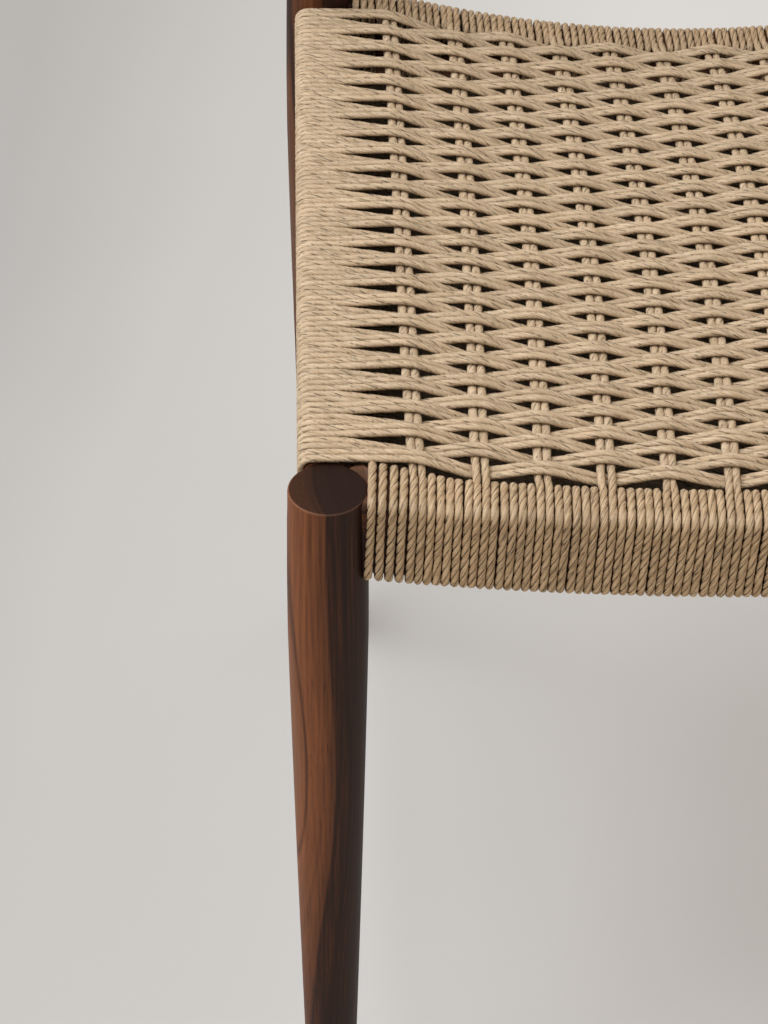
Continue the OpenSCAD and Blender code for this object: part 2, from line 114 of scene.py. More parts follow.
PAIR_COUNT = 12
PAIR_STEP = 27.3 * MM
PAIR_GAP = 3.86 * MM
FIRST_PAIR_FRONT = 38.4 * MM  # from the leg's axis
FIRST_PAIR_BACK = 36.8 * MM
PAIR_BOW = 6 * MM  # how much the pairs bow sideways
WARP_RISE = 0.25 * MM  # how far a pair moves up or down where it crosses a row
WARP_PRESSED = 0.14
WARP_SWAY = 1.2 * MM
WARP_SWAY_WIDTH = 18
WARP_SWAY_START = 10 * MM  # distances from a rail within which the sway starts,
LEAN_REACH = 20 * MM  # the lean of the turn on the rail fades
TWIST_REACH = 8 * MM  # and its hard twist fades

# The rows of double cords, from side to side

WEFT_COUNT = 47
WEFT_STEP = (SIDE_L - 2 * WINDING_START) / WEFT_COUNT
WEFT_GAP = 3.78 * MM  # between the two cords of a row
WEFT_RISE = 3.05 * MM  # how far above or below the middle of a pair a row lies, and how much that differs
RISE_SPREAD = (0.95, 1.05)
WEFT_FLAT = 0.7  # share of a pair's gap to which a row is level on each side of the pair
WEFT_BEND = 2.2 * MM  # how softly a row bends
WEFT_PRESSED = 0.16  # share by which a row is flatter where it crosses a pair, and how far beside it
PRESSED_REACH = 7.5 * MM
WEFT_SWAY = 0.9 * MM
WEFT_SWAY_WIDTH = 14
PULL = 4.8 * MM  # how much the first rows are drawn to a rail, for how many rows,
PULL_ROWS = 5
PULL_REACH = 60 * MM  # and how far from the side rails this is at its full
SPREAD_SHARE = 0.25  # share of that distance at which the two cords have their gap
WEAVE_LIFT = 2.3 * MM  # how much higher the seat lies away from the front and back rails
LIFT_REACH = 30 * MM

# How finely the cords are drawn: the lengths of their rings, their sides and the points of their ways

TURN_STEP = 1.6 * MM
WARP_STEP = 1.9 * MM
FINE_STEP = 2.1 * MM
COARSE_STEP = 3.4 * MM
EDGE_POINTS = 7
ROUND_SIDES = 12
PLAIN_SIDES = 9
TURN_POINTS = 60
SIDE_POINTS = 50
WARP_POINTS = 420
WEFT_POINTS = 640


# The rails. A place on a rail is given by v, outwards from the line of the leg axes, and z.

def section_loop():
    """Points (v, z below the rail's top) and normals of a cord's middle line round a rail, starting on top
    at the inner edge and going outwards, with the share of the way round at each."""
    r = RAIL_EDGE + CORD_R
    low = -WOOD_IN - CORD_R
    high = WOOD_OUT + CORD_R
    top = CORD_R
    bottom = -RAIL_H - CORD_R
    corners = [(high - r, top - r, 90), (high - r, bottom + r, 0),
               (low + r, bottom + r, -90), (low + r, top - r, 180)]
    points = []
    normals = []
    for v, z, start in corners:
        for k in range(EDGE_POINTS):
            a = math.radians(start - 90 * k / (EDGE_POINTS - 1))
            points.append((v + r * math.cos(a), z + r * math.sin(a)))
            normals.append((math.cos(a), math.sin(a)))
    points.insert(0, (low + r, top))
    normals.insert(0, (0.0, 1.0))
    points = np.array(points)
    way = np.concatenate([[0], np.cumsum(np.linalg.norm(np.diff(points, axis=0), axis=1))])
    return points, np.array(normals), way / way[-1]


SECTION, SECTION_NORMALS, SECTION_WAY = section_loop()
INNER_EDGE = -WOOD_IN + RAIL_EDGE


def on_section(t):
    """(v, z, normal v, normal z) at shares t of the way round."""
    t = np.mod(t, 1.0)
    columns = np.hstack([SECTION, SECTION_NORMALS]).T
    return [np.interp(t, SECTION_WAY, c) for c in columns]


def share_inside(z):
    """Share of the way round at which the middle line is at height z, below the top, on the inner side."""
    tail = slice(len(SECTION_WAY) // 2, len(SECTION_WAY))
    return float(np.interp(z, SECTION[tail, 1], SECTION_WAY[tail]))


def share_under():
    """Share of the way round at which the middle line reaches the inner edge of the underside."""
    lowest = np.isclose(SECTION[:, 1], SECTION[:, 1].min())
    return float(SECTION_WAY[np.flatnonzero(lowest)[-1]])


UNDER_SHARE = share_under()
UNDER_Z = SEAT_H - RAIL_H - CORD_R


class Rail:
    """A front or back rail, dipped in its middle. facing is 1 for the front rail, -1 for the back one."""

    def __init__(self, axis_half, axis_y, dip, facing):
        self.axis_half = axis_half
        self.axis_y = axis_y
        self.facing = facing
        half = axis_half - LEG_TOP_R
        self.radius = (half * half + dip * dip) / (2 * dip)
        self.lowest = SEAT_H - dip

    def top(self, x):
        return self.lowest + self.radius - np.sqrt(self.radius ** 2 - x * x)

    def bottom(self, x):
        return self.lowest + self.radius - np.sqrt((self.radius + RAIL_H) ** 2 - x * x)

    def around(self, t, x):
        """Points and normals of a cord round the rail at shares t of the way and places x along it. The
        front rail is thicker inwards beside the legs."""
        v, z, nv, nz = on_section(t)
        if self.facing > 0:
            from_winding = self.axis_half - WINDING_START - np.abs(x)
            flare = FLARE * np.clip(1 - from_winding / FLARE_REACH, 0, 1)
            v = v + np.minimum(v, 0) / WOOD_IN * flare
        top = self.top(x)
        stretch = (top - self.bottom(x)) / RAIL_H
        points = np.stack([x, self.axis_y - self.facing * v, top + z * stretch], axis=1)
        normals = np.stack([np.zeros_like(nv), -self.facing * nv, nz], axis=1)
        return points, normals


FRONT = Rail(FRONT_HALF, FRONT_Y, FRONT_DIP, 1)
BACK = Rail(BACK_HALF, BACK_Y, BACK_DIP, -1)


def along_depth(y):
    """Share of the way from the line of the front legs to that of the back posts."""
    return (y - FRONT_Y) / DEPTH


def half_at(y):
    """Distance from the chair's middle to the axis line of a side rail."""
    return FRONT_HALF + (BACK_HALF - FRONT_HALF) * along_depth(y)


def weave_z(x, y, under=False):
    """Height of the middle of the pairs, on straight lines from the front rail to the back rail. The
    woven seat lies a little higher away from the rails."""
    t = along_depth(y)
    if under:
        ruled = FRONT.bottom(x) * (1 - t) + BACK.bottom(x) * t - CORD_R
        return np.minimum(ruled, UNDER_Z - 2 * CORD_R)
    near = np.minimum(y - FRONT_Y - WOOD_IN, BACK_Y - WOOD_IN - y)
    lift = WEAVE_LIFT * np.clip(near / LIFT_REACH, 0, 1)
    return FRONT.top(x) * (1 - t) + BACK.top(x) * t + CORD_R + lift


def pair_x(i, t):
    """Place of pair i, from the left, at share t of the way from the front rail to the back rail."""
    k = i - (PAIR_COUNT - 1) / 2
    if i in (0, PAIR_COUNT - 1):
        front = FRONT_HALF - FIRST_PAIR_FRONT
        back = BACK_HALF - FIRST_PAIR_BACK
        return math.copysign(1, k) * (front + (back - front) * t)
    bow = PAIR_BOW * math.sin(math.pi * i / (PAIR_COUNT - 1))
    return k * PAIR_STEP + bow * np.sin(math.pi * np.clip(t, 0, 1))


# A cord is a tube of plies twisted to the right, swept along a path.

class Cords:
    """Collects the tubes that become one mesh, with the values at their points that the material needs:
    the places along the fibres, the grooves, which get lines of painted shade, how hard the twist is, which
    also gives painted shade and a painted highlight on the rails, the side that faces the hollow of the
    seat, which gets painted shade, and a tint for each cord."""

    def __init__(self):
        self.verts = []
        self.faces = []
        self.grain = []
        self.values = {name: [] for name in ("groove", "hard", "inside", "tint")}
        self.count = 0

    def add(self, stretches, sides, closed=False):
        """Adds a cord made of stretches. Each has its points, their outward normals, the length of a
        ring, how hard the twist is, from 0 in the weave to 1 on a rail, which the material also takes for
        painted shade and a painted highlight, and the share by which it is flatter and wider."""
        columns = []
        for points, normals, *values in stretches:
            columns.append([points, normals] + [np.broadcast_to(v, len(points)) for v in values])
        columns = [np.concatenate(column) for column in zip(*columns)]
        if closed:
            columns = [np.concatenate([column, column[:1]]) for column in columns]
        points, normals, steps, twisted, pressed = columns
        spans = np.linalg.norm(np.diff(points, axis=0), axis=1)
        way = np.concatenate([[0], np.cumsum(spans)])
        ring_way = np.concatenate([[0], np.cumsum(spans / ((steps[1:] + steps[:-1]) / 2))])
        rings = int(round(ring_way[-1]))
        s = np.interp(np.linspace(0, ring_way[-1], rings, endpoint=not closed), ring_way, way)

        def at(values):
            return np.stack([np.interp(s, way, c) for c in values.T], axis=1)

        path = at(points)
        up = at(normals)
        flat = np.interp(s, way, pressed)[:, None]
        hard = np.interp(s, way, twisted)
        turns = spans / (WEAVE_LAY + (TURN_LAY - WEAVE_LAY) * (twisted[1:] + twisted[:-1]) / 2)
        turns = np.concatenate([[0], np.cumsum(turns)]) * rng.uniform(*LAY_SPREAD)
        if closed:
            tangent = np.roll(path, -1, axis=0) - np.roll(path, 1, axis=0)
            turns *= round(turns[-1]) / turns[-1]
        else:
            tangent = np.gradient(path, axis=0)
        tangent /= np.linalg.norm(tangent, axis=1)[:, None]
        up -= tangent * np.sum(up * tangent, axis=1)[:, None]
        up /= np.linalg.norm(up, axis=1)[:, None]
        side = np.cross(tangent, up)

        ring_angle = np.arange(sides) * 2 * np.pi / sides
        half_ply = np.pi / PLIES
        from_groove = np.abs(np.mod(ring_angle + half_ply, 2 * half_ply) - half_ply) / half_ply
        hollow = (1 - from_groove) ** 2
        depth = WEAVE_GROOVE + (TURN_GROOVE - WEAVE_GROOVE) * hard
        radius = CORD_R * (1 - depth[:, None] * hollow[None, :])
        start = rng.uniform(0, 2 * np.pi)
        uneven = UNEVEN_TWIST * smooth(rng.normal(0, 1, rings), UNEVEN_WIDTH)
        twist = start + 2 * np.pi * np.interp(s, way, turns) + uneven * np.sin(np.pi * s / way[-1])
        angle = ring_angle[None, :] + twist[:, None]
        out = radius * np.cos(angle) * (1 - flat)
        across = radius * np.sin(angle) * (1 + flat)
        verts = path[:, None] + out[:, :, None] * up[:, None] + across[:, :, None] * side[:, None]

        a = np.arange(sides)
        b = (a + 1) % sides
        ring = np.arange(rings if closed else rings - 1)
        here = ring[:, None] * sides
        there = ((ring + 1) % rings)[:, None] * sides
        quads = np.stack([here + a, here + b, there + b, there + a], axis=2).reshape(-1, 4)

        offset = rng.uniform(0, GRAIN_OFFSETS)
        grain = np.empty((rings, sides, 3))
        grain[:, :, 0] = np.cos(ring_angle) * CORD_R / MM
        grain[:, :, 1] = np.sin(ring_angle) * CORD_R / MM
        grain[:, :, 2] = (s / MM + offset)[:, None]
        self.verts.append(verts.reshape(-1, 3))
        self.faces.append(quads + self.count)
        self.grain.append(grain.reshape(-1, 3))
        self.values["groove"].append(np.tile(hollow, rings))
        self.values["hard"].append(np.repeat(hard, sides))
        # painted shade mask: 1 on the side of the cord that faces the hollow of the seat
        self.values["inside"].append(np.clip(-HOLLOW_SHADE_SIDE * np.cos(angle), 0, 1).ravel())
        self.values["tint"].append(np.full(rings * sides, rng.uniform(0, 1)))
        self.count += rings * sides

    def build(self, name, material, stands_for):
        """Makes the mesh, which is shown instead of the nodes that it stands for."""
        verts = np.vstack(self.verts)
        faces = np.vstack(self.faces)
        mesh = bpy.data.meshes.new(name)
        mesh.vertices.add(len(verts))
        mesh.vertices.foreach_set("co", verts.astype(np.float32).ravel())
        mesh.loops.add(faces.size)
        mesh.loops.foreach_set("vertex_index", faces.astype(np.int32).ravel())
        mesh.polygons.add(len(faces))
        mesh.polygons.foreach_set("loop_start", np.arange(0, faces.size, 4, dtype=np.int32))
        mesh.update(calc_edges=True)
        mesh.shade_smooth()
        put(mesh, "grain", "FLOAT_VECTOR", "vector", np.vstack(self.grain))
        for attribute, values in self.values.items():
            put(mesh, attribute, "FLOAT", "value", np.concatenate(values))
        mesh.materials.append(material)
        piece = add_object(name, mesh)
        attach(piece, ROOT)
        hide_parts(*stands_for)


def add_object(name, data):
    made = bpy.data.objects.new(name, data)
    bpy.context.scene.collection.objects.link(made)
    return made


def put(mesh, name, kind, field, values):
    """Gives the mesh an attribute with a value for each point."""
    layer = mesh.attributes.new(name, kind, "POINT")
    layer.data.foreach_set(field, values.astype(np.float32).ravel())


def smooth(values, width):
    """Values smoothed along their order by a bell of that many steps."""
    reach = int(3 * width)
    bell = np.exp(-0.5 * (np.arange(-reach, reach + 1) / width) ** 2)
    padded = np.concatenate([np.full(reach, values[0]), values, np.full(reach, values[-1])])
    return np.convolve(padded, bell / bell.sum(), mode="valid")


# Single turns on the front and back rails

def single_turns(rail):
    """Each group of single turns along the rail: (first place from the right, spacing, count)."""
    t = 0 if rail is FRONT else 1
    reach = rail.axis_half - WINDING_START
    left_cords = [pair_x(i, t) - PAIR_GAP / 2 for i in range(PAIR_COUNT)]
    right_cords = [pair_x(i, t) + PAIR_GAP / 2 for i in range(PAIR_COUNT)]
    starts = [-reach - NEARER_LEGS - CORD_PITCH / 2] + right_cords
    ends = left_cords + [reach + NEARER_LEGS + CORD_PITCH / 2]
    groups = []
    for k in range(PAIR_COUNT + 1):
        room = ends[k] - starts[k]
        count = int(room / CORD_PITCH + CLOSEST_TURNS) - 1
        spacing = room / (count + 1)
        groups.append((starts[k] + count * spacing, spacing, count))
    return groups


def wind(cords, rail, step, sides):
    """Single turns of one rail. Each group is one cord that winds from right to left."""
    first_share = share_inside(TURN_START) - 1
    for right, spacing, count in single_turns(rail):
        t = np.linspace(first_share, first_share + count, count * TURN_POINTS)
        places = right - np.arange(-1, count + 1) * spacing + rng.normal(0, TURN_JITTER, count + 2)
        x = np.interp(t - LEAN_START, np.arange(-1, count + 1), places)
        x = x + smooth(rng.normal(0, TURN_SWAY, len(x)), TURN_SWAY_WIDTH)
        points, normals = rail.around(t, x)
        cords.add([(points, normals, step, twist_and_painted_light(normals), TURN_PRESSED)], sides)


def twist_and_painted_light(normals):
    """How hard the twist is of cords round a front or back rail: most on the upright faces, and little
    where a cord is stretched over the rail's upper edge. The material makes the cord darker where this is
    high, partly as painted shade on the upright faces, and paler where it is low, as a painted highlight
    over the upper edge."""
    # a painted highlight: low values over the upper edge give the paler woven colours there
    edge_highlight = np.clip(2 * np.abs(normals[:, 1]) * normals[:, 2], 0, 1)
    return TURN_TWIST + (1 - TURN_TWIST) * np.abs(normals[:, 1]) - TURN_TWIST * edge_highlight ** 2


# The cords of the weave run over the seat, round a rail, back under the seat and round the other rail.

def over_under(row, pair):
    """1 where a row of double cords passes over a pair, and -1 where it passes under it."""
    return -1 if (row + pair) % 2 else 1


def warp_cord(cords, i, side):
    """One cord of a pair, as a loop round the front and back rails."""
    shift = side * PAIR_GAP / 2
    round_front = np.linspace(UNDER_SHARE, 0, TURN_POINTS)
    front_lean = CORD_PITCH * (LEAN_START - round_front)
    front_points, front_normals = FRONT.around(round_front, pair_x(i, 0) + shift + front_lean)
    back_x = np.full(TURN_POINTS, pair_x(i, 1) + shift)
    back_points, back_normals = BACK.around(round_front[::-1], back_x)
    stretches = [(front_points, front_normals, TURN_STEP, twist_and_painted_light(front_normals), TURN_PRESSED)]
    for under in (False, True):
        end = 0 if under else -1
        y = np.linspace(front_points[end, 1], BACK_Y + INNER_EDGE, WARP_POINTS)[1:-1]
        from_rail = np.minimum(y - y[0], y[-1] - y)
        sway = smooth(rng.normal(0, WARP_SWAY, len(y)), WARP_SWAY_WIDTH)
        x = pair_x(i, along_depth(y)) + shift + sway * np.clip(from_rail / WARP_SWAY_START, 0, 1)
        x = x + front_lean[end] * np.exp((y[0] - y) / LEAN_REACH)
        row = (y - FRONT_Y - WINDING_START) / WEFT_STEP - 0.5
        woven = np.clip(np.minimum(row + 0.5, WEFT_COUNT - 0.5 - row), 0, 1)
        z = weave_z(x, y, under) - WARP_RISE * np.cos(np.pi * row) * over_under(0, i) * woven
        span = np.stack([x, y, z], axis=1)
        outward = np.tile([0.0, 0.0, -1.0 if under else 1.0], (len(y), 1))
        twisted = TURN_TWIST * np.exp(-from_rail / TWIST_REACH)
        if under:
            stretches.append((span[::-1], outward, COARSE_STEP, twisted, 0.0))
        else:
            stretches.append((span, outward, WARP_STEP, twisted, WARP_PRESSED * woven))
            stretches.append((back_points, back_normals, FINE_STEP, twist_and_painted_light(back_normals), TURN_PRESSED))
    cords.add(stretches, ROUND_SIDES, closed=True)


def weft_side(side, y, t):
    """A weft cord round a side rail at shares t of the way, at depth y."""
    v, z, nv, nz = on_section(t)
    points = np.stack([side * (half_at(y) + v), np.full(len(t), y), SEAT_H + z], axis=1)
    normals = np.stack([side * nv, 0 * nv, nz], axis=1)
    return points, normals


def weft_heights(j, y, x):
    """Heights of weft cord j across the seat: over one pair and under the next, flat where they cross."""
    edge = half_at(y) + INNER_EDGE
    flat = PAIR_GAP * WEFT_FLAT
    level = SEAT_H + CORD_R
    xs = [-edge]
    heights = [level]
    for i in range(PAIR_COUNT):
        place = float(pair_x(i, along_depth(y)))
        lift = WEFT_RISE * over_under(j, i) * rng.uniform(*RISE_SPREAD)
        for at in (place - flat, place + flat):
            xs.append(at)
            heights.append(float(weave_z(at, y)) + lift)
    xs.append(edge)
    heights.append(level)
    return smooth(np.interp(x, xs, heights), WEFT_BEND / (x[1] - x[0]))


def weft_cord(cords, j, side):
    """One cord of a double cord, as a loop round the two side rails."""
    y_mid = FRONT_Y + WINDING_START + (j + 0.5) * WEFT_STEP
    y_rail = y_mid + side * WEFT_STEP / 4 + NEARER_LEGS * towards_rails(j)
    round_left = np.linspace(UNDER_SHARE, 0, SIDE_POINTS)
    left_points, left_normals = weft_side(-1, y_rail, round_left)
    right_points, right_normals = weft_side(1, y_rail, round_left[::-1])
    x = np.linspace(left_points[-1, 0], right_points[0, 0], WEFT_POINTS)[1:-1]

    from_rail = np.clip((half_at(y_mid) - WOOD_IN - np.abs(x)) / PULL_REACH, 0, 1)
    pull = (PULL - NEARER_LEGS) * towards_rails(j) * np.sin(from_rail * math.pi / 2)
    on_rail = WEFT_PRESSED / 2
    flat = on_rail * (1 + near_pairs(x, along_depth(y_mid)))
    spread = side * (WEFT_GAP / 2 - WEFT_STEP / 4 + CORD_R * flat / 2)
    spread *= np.clip(from_rail / SPREAD_SHARE, 0, 1)
    y = y_rail + spread + pull + smooth(rng.normal(0, WEFT_SWAY, len(x)), WEFT_SWAY_WIDTH) * from_rail
    z = weft_heights(j, y_mid + side * WEFT_STEP / 4 + PULL * towards_rails(j), x)
    over = np.stack([x, y, z], axis=1)
    over_outward = np.stack([-np.gradient(z, x), 0 * x, np.ones(len(x))], axis=1)
    under = np.stack([x[::-1], np.full(len(x), y_rail), np.full(len(x), UNDER_Z)], axis=1)
    under_outward = np.tile([0.0, 0.0, -1.0], (len(x), 1))

    cords.add([(left_points, left_normals, FINE_STEP, 0.0, on_rail),
               (over, over_outward, FINE_STEP, 0.0, flat),
               (right_points, right_normals, FINE_STEP, 0.0, on_rail),
               (under, under_outward, COARSE_STEP, 0.0, on_rail)], PLAIN_SIDES, closed=True)


def near_pairs(x, t):
    """How near places along a weft are to a pair: 1 where they cross, and hardly anything half-way
    between two pairs."""
    places = np.array([float(pair_x(i, t)) for i in range(PAIR_COUNT)])
    gaps = np.min(np.abs(x[:, None] - places[None, :]), axis=1)
    return np.exp(-(gaps / PRESSED_REACH) ** 2)


def towards_rails(j):
    """How much weft j is drawn to the nearer of the front and back rails: from -1, to the front, to 1."""
    from_front = math.exp(-j / PULL_ROWS)
    from_back = math.exp(-(WEFT_COUNT - 1 - j) / PULL_ROWS)
    return from_back - from_front


# Materials. A noise has its waves in each direction, its detail and its roughness. A span has two values
# and what they are turned into, which is 0 and 1 where only two are given.

def rgb(r, g, b):
    """A colour as seen on a screen, turned into the light that it stands for."""
    return (*(((c / 255 + 0.055) / 1.055) ** 2.4 if c > 10 else c / 255 / 12.92 for c in (r, g, b)), 1)


class Graph:
    """A new material, with short names for adding its nodes."""

    def __init__(self, name):
        self.material = bpy.data.materials.new(name)
        self.material.use_nodes = True
        self.tree = self.material.node_tree
        self.tree.nodes.clear()
        self.shader = self.node("ShaderNodeBsdfPrincipled")
        self.feed(self.node("ShaderNodeOutputMaterial").inputs["Surface"], self.shader.outputs["BSDF"])

    def surface(self, values):
        """Gives the shader its values, by the names of its sockets, and returns the material."""
        for name, value in values.items():
            self.feed(self.shader.inputs[name], value)
        return self.material

    def node(self, kind, **values):
        made = self.tree.nodes.new(kind)
        for key, value in values.items():
            setattr(made, key, value)
        return made

    def feed(self, socket, value):
        """Links another node's output to a socket, or gives the socket a value."""
        if isinstance(value, bpy.types.NodeSocket):
            self.tree.links.new(value, socket)
        else:
            socket.default_value = value

    def attribute(self, name, output="Fac"):
        return self.node("ShaderNodeAttribute", attribute_name=name).outputs[output]

    def object_place(self):
        return self.node("ShaderNodeTexCoord").outputs["Object"]

    def parts(self, vector):
        """The parts of a vector, by the names X, Y and Z."""
        made = self.node("ShaderNodeSeparateXYZ")
        self.feed(made.inputs[0], vector)
        return made.outputs

    def length(self, vector):
        made = self.node("ShaderNodeVectorMath", operation="LENGTH")
        self.feed(made.inputs[0], vector)
        return made.outputs["Value"]

    def mapping(self, vector, scale=(1, 1, 1), rotation=(0, 0, 0), location=(0, 0, 0)):
        made = self.node("ShaderNodeMapping")
        self.feed(made.inputs["Vector"], vector)
        self.feed(made.inputs["Scale"], scale)
        self.feed(made.inputs["Rotation"], rotation)
        self.feed(made.inputs["Location"], location)
        return made.outputs["Vector"]

    def noise(self, vector, waves, detail, roughness=0.5):
        made = self.node("ShaderNodeTexNoise")
        self.feed(made.inputs["Vector"], self.mapping(vector, scale=waves))
        self.feed(made.inputs["Scale"], 1.0)
        self.feed(made.inputs["Detail"], detail)
        self.feed(made.inputs["Roughness"], roughness)
        return made.outputs["Fac"]

    def math(self, operation, a, b=0.0):
        made = self.node("ShaderNodeMath", operation=operation)
        self.feed(made.inputs[0], a)
        self.feed(made.inputs[1], b)
        return made.outputs[0]

    def total(self, values, shares):
        """The sum of values, each times its share."""
        total = 0.0
        for value, share in zip(values, shares):
            total = self.math("ADD", total, self.math("MULTIPLY", value, share))
        return total

    def span(self, value, low, high, to_low=0.0, to_high=1.0):
        made = self.node("ShaderNodeMapRange")
        self.feed(made.inputs["Value"], value)
        self.feed(made.inputs["From Min"], low)
        self.feed(made.inputs["From Max"], high)
        self.feed(made.inputs["To Min"], to_low)
        self.feed(made.inputs["To Max"], to_high)
        return made.outputs["Result"]

    def ramp(self, value, stops):
        made = self.node("ShaderNodeValToRGB")
        self.feed(made.inputs["Fac"], value)
        elements = made.color_ramp.elements
        while len(elements) < len(stops):
            elements.new(0.5)
        for element, (place, colour) in zip(elements, stops):
            element.position = place
            element.color = colour
        return made.outputs["Color"]

    def mix(self, share, a, b, blend="MIX"):
        made = self.node("ShaderNodeMix", data_type="RGBA", blend_type=blend)
        self.feed(made.inputs[0], share)
        self.feed(made.inputs[6], a)
        self.feed(made.inputs[7], b)
        return made.outputs[2]

    def grey(self, value):
        made = self.node("ShaderNodeCombineColor")
        for k in range(3):
            self.feed(made.inputs[k], value)
        return made.outputs[0]

    def bump(self, height, strength, distance):
        made = self.node("ShaderNodeBump")
        self.feed(made.inputs["Height"], height)
        self.feed(made.inputs["Strength"], strength)
        self.feed(made.inputs["Distance"], distance)
        return made.outputs["Normal"]


# Paper cord. Its noises have their waves to the millimetre, across and along the fibres. Lines are painted
# shade in the grooves between the plies, broken into dashes, and cracks are painted shade in small creases
# along the fibres.

FIBRE_NOISE = ((1.5, 1.5, 0.1), 5, 0.65)
FINE_NOISE = ((4.5, 4.5, 0.4), 3, 0.6)
PATCH_NOISE = ((0.12, 0.12, 0.035), 2)
CRACK_NOISE = ((1.9, 1.9, 0.13), 2, 0.6)
BREAK_NOISE = ((0.4, 0.4, 0.3), 2)
FIBRE_TONES = (0.62, 0.38)  # shares of the fibres and the fine fibres in the tone and in the height
FIBRE_HEIGHTS = (0.7, 0.3)
WOVEN_COLOURS = [(0.32, rgb(144, 115, 85)), (0.43, rgb(190, 163, 129)),
                 (0.54, rgb(213, 188, 156)), (0.68, rgb(228, 207, 178))]
# the turned colours are darker, partly as painted shade for the upright faces of the rails
TURNED_SHADED_COLOURS = [(0.32, rgb(120, 90, 61)), (0.43, rgb(174, 142, 105)),
                  (0.54, rgb(205, 175, 137)), (0.68, rgb(221, 197, 163))]
CORD_BRIGHTNESS = 0.97
TINT_SPAN = (0, 1, -0.06, 0.06)
PATCH_SPAN = (0.3, 0.7, -0.07, 0.07)
CRACK_SPAN = (0.58, 0.64)
CRACK_PATCHES = (0.42, 0.58, 0.2, 1.0)  # the paler patches have more cracks
CRACK_STRENGTH = (0, 1, 0.5, 0.85)  # and they are darker where the twist is hard
WOVEN_DASHES = (0.42, 0.52, 0.7, 0.0)
TURNED_DASHES = (0.38, 0.62, 1.0, 0.5)
LINE_SPAN = (0.58, 0.92)  # how deep in a groove its line of painted shade starts and is full
# colour of the painted shade in the grooves and creases
CREASE_SHADE_COLOUR = rgb(38, 25, 16)
LINE_DEPTH = 0.6
# colour and share of the painted shade on the side of a cord that faces the hollow of the seat
HOLLOW_SHADE_COLOUR = rgb(48, 35, 25)
HOLLOW_SHADE_SHARE = 0.7
CORD_ROUGHNESS = (0, 1, 0.6, 0.75)
CORD_SHINE = 0.3
CORD_BUMP = (0.7, 0.45 * MM)


def paper_cord():
    """Twisted paper. On the rails, where it is twisted hard, it is darker, partly as painted shade on the
    upright faces, and over a rail's upper edge it is paler as a painted highlight. Its plies show dark
    lines of painted shade in their grooves; in the weave these are short dashes. The side of a cord that
    faces the hollow of the seat is painted in shade."""
    g = Graph("paper_cord")
    grain = g.attribute("grain", "Vector")
    hard = g.attribute("hard")
    fibres = (g.noise(grain, *FIBRE_NOISE), g.noise(grain, *FINE_NOISE))
    patch = g.noise(grain, *PATCH_NOISE)
    tone = g.total(fibres, FIBRE_TONES)
    # the darker turned colours are partly painted shade; over a rail's upper edge the woven colours are a
    # painted highlight
    colour = g.mix(hard, g.ramp(tone, WOVEN_COLOURS), g.ramp(tone, TURNED_SHADED_COLOURS))
    shade = g.math("ADD", g.span(g.attribute("tint"), *TINT_SPAN), g.span(patch, *PATCH_SPAN))
    colour = g.mix(1.0, colour, g.grey(g.math("ADD", shade, CORD_BRIGHTNESS)), "MULTIPLY")

    # dark lines of painted shade: in the grooves between the plies and in small creases along the fibres
    cracks = g.span(g.noise(grain, *CRACK_NOISE), *CRACK_SPAN)
    cracks = g.math("MULTIPLY", cracks, g.span(patch, *CRACK_PATCHES))
    broken = g.noise(grain, *BREAK_NOISE)
    on_rails = g.math("MULTIPLY", hard, g.span(broken, *TURNED_DASHES))
    dashes = g.math("MAXIMUM", g.span(broken, *WOVEN_DASHES), on_rails)
    line = g.math("MULTIPLY", g.span(g.attribute("groove"), *LINE_SPAN), dashes)
    line = g.math("MAXIMUM", line, g.math("MULTIPLY", cracks, g.span(hard, *CRACK_STRENGTH)))
    colour = g.mix(line, colour, CREASE_SHADE_COLOUR)
    # painted shade on the side that faces the hollow of the seat
    colour = g.mix(g.math("MULTIPLY", g.attribute("inside"), HOLLOW_SHADE_SHARE), colour, HOLLOW_SHADE_COLOUR)
    height = g.math("SUBTRACT", g.total(fibres, FIBRE_HEIGHTS), g.math("MULTIPLY", line, LINE_DEPTH))
    return g.surface({
        "Base Color": colour,
        "Roughness": g.span(hard, *CORD_ROUGHNESS),
        "Specular IOR Level": CORD_SHINE,
        "Normal": g.bump(height, *CORD_BUMP),
    })


# Walnut. Its noises have their waves to the metre, across and along the grain, and those of the growth
# rings across the rings only. The rings waver a little. On turned pieces they also lean, and swing to one
# side round a height.

TO_GRAIN = {
    "x": ((0, math.radians(-90), 0), (-1, 1)),
    "y": ((math.radians(90), 0, 0), (1, -1)),
    "z": ((0, 0, 0), (1, 1)),
}
WAVER_NOISE = ((9, 9, 4.2), 1)
BAND_NOISE = ((420, 0, 0), 3, 0.6)
BROAD_NOISE = ((75, 0, 0), 1)
STREAK_NOISE = ((700, 700, 11), 4, 0.65)
PORE_NOISE = ((2100, 2100, 75), 2, 0.6)
WAVER_SPAN = (0.3, 0.7, -2 * MM, 2 * MM)
SWIRL = 7 * MM  # how far the rings swing, round what height, and how far up and down
SWIRL_Z = 275 * MM
SWIRL_REACH = 85 * MM
GRAIN_LEAN = 0.011
WARM_EDGE = 0.6 * MM  # half the width of the warm wood's sharp edge, and the share of the warmth there
WARM_STEP = 0.55
WARM_START = 1 * MM  # distances outside that edge between which the rest of the warmth comes
WARM_END = 8 * MM
DARK_RING = 12 * MM  # distance outside that edge of one broken dark ring, where the sapwood starts
DARK_RING_SPAN = (0.1 * MM, 0.8 * MM, 0.16, 0.0)
DARK_RING_BREAKS = (0.4, 0.55)
TONE_SHARES = (0.26, 0.42, 0.24, 0.33)  # of the bands, the streaks, the broad bands and the warmth
WALNUT_COLOURS = [(0.34, rgb(30, 18, 13)), (0.49, rgb(50, 29, 20)),
                  (0.66, rgb(98, 58, 36)), (0.89, rgb(146, 89, 54))]
